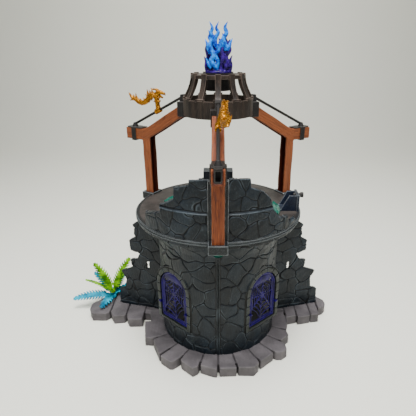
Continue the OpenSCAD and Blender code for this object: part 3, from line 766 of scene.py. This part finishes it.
def timber_plastic():
    """Red-brown plastic: the colour and the bump both run along the moulded grain."""
    material = bpy.data.materials.new("timber_plastic")
    material.use_nodes = True
    tree = material.node_tree
    shader = tree.nodes["Principled BSDF"]
    grain = mark(tree, "grain", "Vector")
    fine = mottle(tree, grain, 0.9, 6)
    broad = mottle(tree, grain, 5.0, 3)
    colour = blend(tree, ramp(tree, broad, 0.35, 0.65), screen(91, 43, 19), screen(121, 62, 31))
    colour = blend(tree, ramp(tree, fine, 0.5, 0.36, 0, 0.75), colour, screen(72, 32, 14))
    colour = blend(tree, ramp(tree, fine, 0.56, 0.75, 0, 0.5), colour, screen(158, 90, 50))
    colour = blend(tree, times(tree, mark(tree, "edge"), 0.5), colour, screen(174, 106, 66))
    # Joint mark: dark grain splits, and painted shade inside the hollow.
    colour = blend(tree, mark(tree, "joint"), colour, screen(60, 22, 12))
    put(tree, shader.inputs["Base Color"], colour)
    put(tree, shader.inputs["Roughness"], ramp(tree, fine, 0.3, 0.7, 0.5, 0.68))
    shader.inputs["Specular IOR Level"].default_value = 0.3
    bump = tree.nodes.new("ShaderNodeBump")
    bump.inputs["Strength"].default_value = 0.5
    bump.inputs["Distance"].default_value = 0.3 * MM
    put(tree, bump.inputs["Height"], fine)
    put(tree, shader.inputs["Normal"], bump.outputs[0])
    return material


timber = timber_plastic()
arm_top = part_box("stub_strap_front")[1].z / MM - 6.3
for name, azimuth in POST_AZ.items():
    post = new_piece(f"timber_{name}", cad_shape(f"post_{name}"))
    skin(post, 0.7)
    carve(post, timber_relief(azimuth, arm_top))
    settle(post, "tower", "timber", timber, f"post_{name}")


# ---- straps, clips and rods ----
# A strap wraps each stub's end, a clip hooks each rafter under the crown, and a thin round strut
# runs between them. All are black-brown plastic, scuffed paler on the edges.

fittings = plastic("black_fittings_plastic", screen(38, 36, 35), screen(14, 13, 13),
                   screen(92, 88, 84), 0.42, patch=8, grain=0.7, bump=0.35, wear=0.6)
for name in POST_AZ:
    for kind, width in (("stub_strap", 0.3), ("rafter_clip", 0.35), ("strut_rod", 0.15)):
        node = f"{kind}_{name}"
        settle(eased(f"{node}_plastic", [node], width), "tower", "black_fittings", fittings, node)


# ---- crown ----
# The crown is one brown-black moulding like old iron: a hoop, twelve hollow-curved ribs on
# wedge-shaped feet, and a ring with raised blocks. A dark cup hangs in the ring.

crown_plastic = plastic("crown_plastic", screen(54, 45, 39), screen(18, 15, 13), screen(112, 98, 88),
                        0.46, patch=6, grain=0.75, bump=0.8, along=(1, 1, 0.1), wear=0.7, patchy=0.8)
crown = eased("iron_crown", ["crown_cage"], 0.35)
settle(crown, "tower", "crown_iron", crown_plastic, "crown_cage")
cup_plastic = plastic("cup_plastic", screen(28, 25, 24), screen(12, 11, 11), screen(70, 66, 62), 0.5,
                      patch=6, grain=0.8, bump=0.4, wear=0.5)
cup = eased("hanging_cup", ["flame_cup"], 0.3)
settle(cup, "tower", "crown_iron", cup_plastic, "flame_cup")


# ---- flame ----
# The flame is two glossy mouldings that lift out of the cup together. Purple
# tongues rise from the collar behind and at the sides, and blue ones lick up in front.

FLAME_H = 52.0
DRAWN_H = 52.6
cup_low, cup_high = (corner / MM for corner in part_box("flame_cup"))
flame_foot = cup_high.z + 0.5
# Control points of a tongue, drawn DRAWN_H high: across, depth, height and thickness in mm
PURPLE_TONGUES = [
    [(3.4, -9, 0, 2.7), (2.6, -9, 8, 2.5), (5.6, -9, 15, 2.7), (3.8, -8, 22, 2.5), (5.4, -7, 28, 1.8),
     (4.6, -7, 33, 0.4)],
    [(12.2, -5, 0, 2.8), (11.4, -6, 9, 2.7), (8.4, -6, 17, 2.9), (12.4, -5, 24, 2.7),
     (10.8, -4, 30, 2.0), (13.4, -3, 35, 0.4)],
    [(13, -4, 0, 2.2), (14.2, -4, 8, 2.1), (13.4, -4, 13, 1.7), (15.6, -4, 18.6, 0.3)],
    [(7, -9, 0, 2.4), (8.6, -9, 6, 2.2), (7.0, -9, 12, 1.6), (8.6, -9, 17, 0.3)],
    [(-11.6, -4, 0, 2.6), (-13.0, -5, 7, 2.4), (-13.2, -5, 12, 1.8), (-15.6, -4, 17.4, 0.3)],
    [(-11, 1, 0, 2.8), (-11.6, 0, 9, 2.6), (-11.0, -1, 17, 2.4), (-12.8, -2, 24, 2.0),
     (-12.4, -2, 29, 1.3), (-14.0, -2, 34, 0.3)],
    [(-7, -8, 0, 2.6), (-8.6, -8, 6, 2.2), (-6.6, -8, 12, 1.7), (-7.4, -8, 17, 0.4)],
    [(-3, 5, 0, 3.4), (-6, 4, 10, 3.2), (-3, 4, 20, 3.0), (-6.4, 3, 29, 2.4), (-5, 2, 36, 0.4)],
    [(6, 5, 0, 3.4), (8.5, 4, 11, 3.2), (6, 4, 21, 3.0), (9.4, 3, 30, 2.2), (8, 3, 38, 0.4)],
    [(1, 8, 0, 3.4), (3, 8, 12, 3.0), (-0.5, 7, 22, 2.6), (2, 6, 31, 1.6), (0.6, 6, 37, 0.3)],
    [(9, 8, 0, 2.8), (10.6, 9, 9, 2.4), (8.6, 8, 16, 1.7), (10.4, 8, 23, 0.3)],
    [(-8, 9, 0, 2.8), (-10, 9, 9, 2.4), (-8, 8, 17, 1.7), (-9.8, 8, 24, 0.3)],
]
BLUE_TONGUES = [
    [(-0.6, -11, 3, 2.2), (-4.2, -11, 8, 2.9), (-7.6, -10, 13, 2.7), (-4.6, -10, 18, 2.9),
     (-7.4, -9, 24, 2.8), (-8.6, -8, 29.5, 2.7), (-5.4, -7, 35.5, 2.5), (-7.8, -7, 41, 2.2),
     (-6.2, -7, 46, 1.8), (-9.2, -7, 52.4, 0.3)],
    [(-1.4, -11, 4, 2.2), (-0.4, -11, 12, 2.3), (-3.2, -10, 19, 2.4), (0.6, -9, 24, 2.3),
     (-3.0, -8, 30, 2.6), (-2.8, -7, 36, 2.5), (0.2, -7, 41.5, 2.1), (-2.0, -7, 46, 1.6),
     (0.8, -7, 52.4, 0.3)],
    [(8.6, -8, 23, 1.8), (7.4, -7, 29, 2.8), (5.6, -7, 35, 2.6), (9.0, -6, 41, 2.5),
     (7.4, -6, 46.5, 1.9), (10.2, -6, 52.4, 0.3)],
    [(10, -7, 23, 1.7), (12.2, -6, 27.6, 2.2), (13.4, -5, 31, 1.6), (15.6, -5, 36, 0.3)],
    [(4.6, -8, 27, 1.6), (3.6, -8, 32, 1.7), (5.4, -7, 37, 1.1), (4.4, -7, 41, 0.3)],
    [(-8.6, -8, 20, 2.0), (-11.0, -7, 26, 2.1), (-12.0, -7, 30, 1.6), (-14.0, -6, 35.4, 0.3)],
    [(-7.6, -10, 5, 1.9), (-10.4, -10, 8.6, 1.7), (-11.6, -9, 12, 1.2), (-13.4, -9, 16.4, 0.3)],
    [(-5, -8, 31, 1.6), (-9.6, -7, 36, 1.7), (-9.0, -6, 40, 1.1), (-10.6, -6, 44, 0.3)],
    [(-0.6, -10, 22, 1.6), (2.0, -9, 27, 1.5), (1.0, -9, 31, 1.0), (2.4, -8, 35, 0.3)],
]


def flame_piece(name, tongues, plug):
    shape = bmesh.new()
    for tongue in tongues:
        controls = [(x, y, flame_foot + z * FLAME_H / DRAWN_H, thick) for x, y, z, thick in tongue]
        tube(shape, flowing(controls, 6), 12, 0.9)
    if plug:
        neck = cup_high.x - 4.4
        stem = [(0, 0, cup_low.z + 3, neck), (0, 0, flame_foot + 0.4, neck)]
        tube(shape, stem, 48)
        collar = [(0, 0, flame_foot, 14.6), (0, 0, flame_foot + 2.0, 14.2), (0, 0, flame_foot + 3, 12)]
        tube(shape, collar, 48)
    return new_piece(name, shape)


purple_clear = plastic("purple_clear", screen(52, 2, 122), screen(14, 0, 52), screen(112, 34, 190),
                       0.28, patch=4, grain=1.6, bump=0.3, coat=0.12, patchy=1.0)
# The blue's pale cyan, spread at random by the grain, is painted highlight, and its deep blue patches are
# painted shade.
blue_clear = plastic("blue_clear", screen(0, 138, 252), screen(0, 24, 150), screen(0, 222, 255),
                     0.26, gloss=0.14, patch=4, grain=1.6, bump=0.3, coat=0.12, patchy=1.0)
purple_flame = flame_piece("purple_tongues", PURPLE_TONGUES, True)
skin(purple_flame, 0.42)
settle(purple_flame, "flame", "purple_flame", purple_clear, "flame_purple")
blue_flame = flame_piece("blue_tongues", BLUE_TONGUES, False)
skin(blue_flame, 0.42)
settle(blue_flame, "flame", "blue_flame", blue_clear, "flame_blue")


# ---- dragons ----
# Two small gold ornaments clip round the strut rods and swing on them. Each is one moulding: a
# sleeve, a scaly neck, a horned head facing the crown, and a waving finned tail.

FRONT_LEAN = math.radians(-17)
SLEEVE_R = 3.4
SLEEVE_HALF = 4.5
BORE_R = 1.78
# Spine and head: outwards, sideways, height above the rod and thickness; fins: root and tip
SPINE = [(0, 0, 1, 3.2), (0.6, 0, 7, 3.1), (1.2, 0, 13, 3.2), (3.2, 0, 17.6, 3.6),
         (7.6, 0, 19.0, 3.8), (12.0, 0, 17.0, 3.9), (15.6, 0, 13.0, 3.7), (20.5, 0, 9.4, 3.4),
         (26, 0, 8.0, 3.1), (31.5, 0, 9.0, 2.9), (36, 0, 11.6, 2.6), (40, 0, 12.6, 2.5),
         (44, 0, 15.6, 1.9), (47.8, 0, 20.6, 0.4)]
HEAD = [
    [(2.6, 0, 19.5, 3.0), (-1.6, 0, 22.6, 2.9), (-5.4, 0, 22.6, 2.5), (-9.4, 0, 21.6, 1.8),
     (-11.6, 0, 20.8, 1.2)],
    [(-10.6, 0, 22.2, 1.3), (-12.0, 0, 21, 0.9), (-12.2, 0, 18.8, 0.3)],
    [(-1, 0, 20, 2.0), (-4.4, 0, 18.4, 1.5), (-7.6, 0, 16.4, 1.1), (-9.2, 0, 17.2, 0.4)],
    [(-2, 1.4, 24, 1.3), (1.6, 1.8, 26, 1.1), (5.6, 2.0, 26.2, 0.8), (9.4, 2.2, 27.4, 0.2)],
    [(-2, -1.4, 24, 1.3), (1.6, -1.8, 26, 1.1), (5.6, -2.0, 26.2, 0.8), (9.4, -2.2, 27.4, 0.2)],
    [(-6, 1.4, 23.6, 1.0), (-3.4, 1.6, 24.8, 0.7)],
    [(-6, -1.4, 23.6, 1.0), (-3.4, -1.6, 24.8, 0.7)],
]
FINS = [(5.0, 19.6, 9.6, 27.4), (8.0, 19.4, 13.4, 25.6), (10.6, 18.0, 16.8, 23.2),
        (13.6, 15.6, 19.6, 19.6), (14.6, 19, 16.4, 25.8), (20, 11.4, 23.8, 15.0),
        (26, 10.0, 29.4, 14.0), (31, 10.6, 33.8, 16.2), (34.4, 11.6, 35.8, 20.6),
        (37.6, 12.8, 40.0, 18.6), (40, 11.6, 46.6, 9.4), (24, 6.6, 27.6, 4.4),
        (12.4, 14.0, 13.6, 9.0), (9.2, 15.6, 9.4, 11.4), (2.8, 12, 6.6, 10.2),
        (-1.8, 11, -4.2, 13.6), (-1.8, 15.4, -4.0, 17.6)]


def dragon_relief(place, normal):
    gap, _ = stones(place @ [0.7, -0.7, 0.2], place @ [0.2, 0.3, 1.0], 2.3, 1.9, 83)
    height = -0.34 * close(gap, 0.3) + 0.1 + 0.05 * swell(place, 1.6, 85)
    return height, {"joint": 0.9 * close(gap, 0.34), "edge": 0.6 * close(gap - 0.8, 0.4)}


def dragon(name, joint_name, azimuth, lean):
    joint = next(one for one in frame["record"]["behaviour"]["joints"] if one["name"] == joint_name)
    pivot = Vector(joint["pos_m"]) / MM
    rod = Vector(joint["axis"]).normalized()
    turn = math.radians(azimuth)
    out = Vector((math.sin(turn), -math.cos(turn), 0))
    side = Vector((math.cos(turn), math.sin(turn), 0))
    tip = Matrix.Rotation(lean, 3, rod)

    def spot(x, y, z):
        return tuple(pivot + tip @ (out * x - side * y + Vector((0, 0, z))))

    shape = bmesh.new()
    flatwise = tip @ side
    spine = [(*spot(x, y, z), thick) for x, y, z, thick in SPINE]
    tube(shape, flowing(spine, 5), 12, 0.95, flatwise)
    for part in HEAD:
        tube(shape, flowing([(*spot(x, y, z), thick) for x, y, z, thick in part], 4), 10, 0.95)
    for x0, z0, x1, z1 in FINS:
        bend = (0.4 * x0 + 0.6 * x1, 0, 0.6 * z0 + 0.4 * z1)
        run = [(*spot(x0, 0, z0), 2.4), (*spot(*bend), 1.7), (*spot(x1, 0, z1), 0.35)]
        tube(shape, flowing(run, 3), 8, 0.6, flatwise)
    half = rod * SLEEVE_HALF
    tube(shape, [(*(pivot - half), SLEEVE_R), (*(pivot + half), SLEEVE_R)], 32)
    piece = new_piece(name, shape)
    skin(piece, 0.33)
    carve(piece, dragon_relief)
    drill = bmesh.new()
    tube(drill, [(*(pivot - 2 * half), BORE_R), (*(pivot + 2 * half), BORE_R)], 40)
    bore = new_piece("bore", drill)
    cut = piece.modifiers.new("bore", "BOOLEAN")
    cut.operation = "DIFFERENCE"
    cut.object = bore
    fix_shape(piece)
    bpy.data.objects.remove(bore)
    return piece


gold = plastic("gold_plastic", screen(190, 120, 20), screen(74, 34, 3), screen(248, 190, 72), 0.32,
               patch=5, grain=0.6, bump=0.3, metal=0.75, wear=0.8, patchy=0.5)
settle(dragon("front_dragon_gold", "front_dragon_swing", 0, FRONT_LEAN), "front_dragon", "gold", gold,
       "dragon_front")
settle(dragon("left_dragon_gold", "left_dragon_swing", -120, 0), "left_dragon", "gold", gold,
       "dragon_left")


# ---- gems ----
# Teal crystals are set flat on the deck at each side and under the front socket. They are glossy
# plastic, cut with one wide bevel round a small table.

gem_plastic = plastic("gem_plastic", screen(0, 92, 78), screen(0, 44, 38), screen(0, 140, 118), 0.2,
                      patch=5, grain=2.4, bump=0.1, coat=0.25, patchy=0.7, wear=0.4)


def cut_gem(name, node, facing, drop, inset):
    """Bevels a gem's shown face down to its edge."""
    shape = cad_shape(node)
    bmesh.ops.dissolve_limit(shape, angle_limit=math.radians(1), verts=shape.verts, edges=shape.edges)
    face = max(shape.faces, key=lambda one: one.calc_center_median().dot(facing)
               if one.normal.dot(facing) > 0.9 else -1)
    rim = list(face.verts)
    bmesh.ops.inset_region(shape, faces=[face], thickness=inset * MM, use_even_offset=False)
    for point in rim:
        point.co -= facing * drop * MM
    return new_piece(name, shape)


for name, facing, drop, inset in (("front", (0, -1, 0), 1.2, 1.0), ("left", (0, 0, 1), 1.7, 3.2),
                                  ("right", (0, 0, 1), 1.7, 2.8)):
    gem = cut_gem(f"{name}_crystal", f"gem_{name}", Vector(facing), drop, inset)
    settle(gem, "tower", "teal_crystal", gem_plastic, f"gem_{name}")


# ---- fern ----
# The fern is two soft plastic mouldings, lime over cyan, that share one peg in the base. Each
# frond is a ribbed blade cut into pointed leaflets, curving over towards its tip.

# Each frond: heading from the front, tilt from upright, length and droop in mm, and twist
LIME_FRONDS = [(-92, 24, 56, 3, -62), (112, 28, 62, 3, 62), (-95, 62, 46, 4, 20), (-12, 44, 24, 3, 0),
               (150, 50, 34, 3, 0)]
CYAN_FRONDS = [(-80, 90, 60, 4, -46), (-18, 92, 34, 1.5, 0), (-112, 42, 45, 3, -62),
               (168, 72, 40, 3, 0), (128, 76, 38, 3, 0)]
FROND_W = 7.8
LEAF_STEP = 5.0
LEAF_REACH = 4.6
FERN_X, FERN_Y = -163.0, 46.0


def frond(shape, root, heading, tilt, length, droop, twist):
    turn = math.radians(heading)
    lean = math.radians(tilt)
    level = Vector((math.sin(turn), -math.cos(turn), 0))
    along = level * math.sin(lean) + Vector((0, 0, math.cos(lean)))
    across = Vector((math.cos(turn), math.sin(turn), 0))
    face = across.cross(along)
    if face.z < 0:
        face = -face
    bow = face.copy()
    across.rotate(Matrix.Rotation(math.radians(twist), 3, along))
    face.rotate(Matrix.Rotation(math.radians(twist), 3, along))

    def rib(share):
        return root + along * (length * share) + bow * (droop * (4 * share * (1 - share)) - 0.4 * droop)

    run = [(*rib(i / 10), 0.46 * FROND_W * math.sin(math.pi * (0.14 + 0.84 * i / 10)) ** 0.8 + 0.2)
           for i in range(11)]
    tube(shape, run, 16, 0.2, across)
    count = int(length / LEAF_STEP)
    for i in range(1, count + 1):
        share = 0.1 + 0.86 * i / count
        broad = max(FROND_W * math.sin(math.pi * min(0.16 + 0.84 * share, 1)) ** 0.7, 1.2)
        ahead = min(share + LEAF_REACH / length, 1.0)
        for hand in (-1, 1):
            start = rib(share)
            middle = rib(share + 0.35 * (ahead - share)) + across * (hand * 0.55 * broad) - face * 0.2
            tip = rib(ahead) + across * (hand * broad) - face * 0.9
            leaf = [(*start, 1.6), (*middle, 1.6), (*tip, 0.35)]
            tube(shape, flowing(leaf, 3), 8, 0.5, along)


def fern(name, fronds, height, peg):
    shape = bmesh.new()
    root = Vector((FERN_X, FERN_Y, height))
    for one in fronds:
        frond(shape, root, *one)
    if peg:
        tube(shape, [(FERN_X, FERN_Y, BASE_H - 7, 1.9), (FERN_X, FERN_Y, height, 1.9)], 24)
        tube(shape, [(FERN_X, FERN_Y, BASE_H + 0.8, 4.6), (FERN_X, FERN_Y, height, 4.2)], 24)
    else:
        tube(shape, [(FERN_X, FERN_Y, height, 3.4), (FERN_X, FERN_Y, height + 4, 2.4)], 24)
    piece = new_piece(name, shape)
    skin(piece, 0.42)
    return piece


lime = plastic("lime_plastic", screen(122, 180, 0), screen(34, 84, 0), screen(158, 208, 0), 0.5,
               gloss=0.1, patch=12, grain=1.6, bump=0.3, patchy=1.0)
cyan = plastic("cyan_plastic", screen(0, 154, 184), screen(0, 70, 98), screen(0, 194, 218), 0.5,
               gloss=0.1, patch=12, grain=1.6, bump=0.3, patchy=0.9)
settle(fern("lime_fern", LIME_FRONDS, BASE_H + 9, False), "fern_plant", "lime_leaf", lime, "fern_green")
settle(fern("cyan_fern", CYAN_FRONDS, BASE_H + 5, True), "fern_plant", "cyan_leaf", cyan, "fern_cyan")


# ---- side bracket and knob ----
# A folded navy bracket stands on the deck's right side, and a black knob turns in its upright.

# The bracket's eased edges are painted near-white as highlight.
navy = plastic("navy_plastic", screen(22, 30, 46), screen(8, 11, 18), screen(132, 140, 146), 0.4,
               patch=10, grain=0.9, bump=0.3, wear=0.8)
settle(eased("navy_bracket", ["side_bracket"], 0.25), "tower", "navy_plastic", navy, "side_bracket")
settle(eased("turning_black_knob", ["side_knob"], 0.3), "turning_knob", "black_fittings", fittings,
       "side_knob")


# ---- rear bracket and pegs ----
# A dark grey bridge piece spans a slot at the back of the deck, held by a loose peg at each side.

rear_plastic = plastic("rear_plastic", screen(36, 40, 44), screen(14, 16, 18), screen(112, 118, 120),
                       0.48, patch=10, grain=0.9, bump=0.35, wear=0.8)
settle(eased("rear_bridge", ["rear_bracket"], 0.4), "tower", "grey_fittings", rear_plastic,
       "rear_bracket")
for name in ("left", "right"):
    node = f"rear_peg_{name}"
    settle(eased(f"{node}_plastic", [node], 0.2), "tower", "grey_fittings", rear_plastic, node)


# ---- camera ----
# The camera stands a little above the crown and is tipped down, close enough that the base looks
# wider than the deck. The lens shift sets the tower's axis a little right of the middle.

camera_data = bpy.data.cameras.new("camera")
camera_data.lens = 33.77
camera_data.sensor_width = 36
camera_data.shift_x = -0.0243
camera_data.clip_start = 0.01
camera = bpy.data.objects.new("camera", camera_data)
bpy.context.scene.collection.objects.link(camera)
camera.location = (0, -0.46578, 0.37326)
camera.rotation_euler = (math.radians(67.81), 0, 0)
bpy.context.scene.camera = camera


# ---- studio ----
# A plain pale floor that curves up behind, lit by broad soft lamps from above and in front. One
# more lamp behind the tower lights only the back of the sheet.

def plain_material(name, colour, roughness):
    material = bpy.data.materials.new(name)
    material.use_nodes = True
    shader = material.node_tree.nodes["Principled BSDF"]
    shader.inputs["Base Color"].default_value = (*colour, 1)
    shader.inputs["Roughness"].default_value = roughness
    return material


def sweep_floor():
    """A sheet that runs forward, and turns up in a wide curve behind."""
    half, front, back, bend, rise = 4.0, -3.0, 1.0, 0.6, 3.0
    outline = [(front, 0.0), (back, 0.0)]
    for i in range(1, 13):
        a = math.radians(90 * i / 12)
        outline.append((back + bend * math.sin(a), bend * (1 - math.cos(a))))
    outline.append((back + bend, rise))
    mesh = bpy.data.meshes.new("studio_floor")
    points = [(side * half, y, z) for y, z in outline for side in (-1, 1)]
    faces = [(2 * i, 2 * i + 1, 2 * i + 3, 2 * i + 2) for i in range(len(outline) - 1)]
    mesh.from_pydata(points, [], faces)
    for face in mesh.polygons:
        face.use_smooth = True
    floor = bpy.data.objects.new("studio_floor", mesh)
    bpy.context.scene.collection.objects.link(floor)
    mesh.materials.append(plain_material("studio_paper", (0.78, 0.78, 0.69), 0.9))


def lamp(name, size, power, spread, place, aim):
    light = bpy.data.lights.new(name, "AREA")
    light.shape = "DISK"
    light.size = size
    light.energy = power
    light.spread = math.radians(spread)
    body = bpy.data.objects.new(name, light)
    bpy.context.scene.collection.objects.link(body)
    body.location = place
    body.rotation_euler = (Vector(aim) - Vector(place)).to_track_quat("-Z", "Y").to_euler()


sweep_floor()
lamp("overhead", 1.2, 13, 72, (0.0, -0.45, 1.7), (0, -0.22, 0.0))
lamp("front_left", 1.2, 5, 150, (-1.2, -1.3, 0.9), (0, 0, 0.2))
lamp("front_right", 1.2, 5, 150, (1.2, -1.3, 0.9), (0, 0, 0.2))
lamp("backdrop", 1.0, 12, 120, (0.0, 0.4, 1.6), (0, 1.5, 0.3))
world = bpy.data.worlds.new("studio_air")
world.use_nodes = True
world.node_tree.nodes["Background"].inputs["Color"].default_value = (0.95, 0.97, 1.0, 1)
world.node_tree.nodes["Background"].inputs["Strength"].default_value = 0.33
bpy.context.scene.world = world
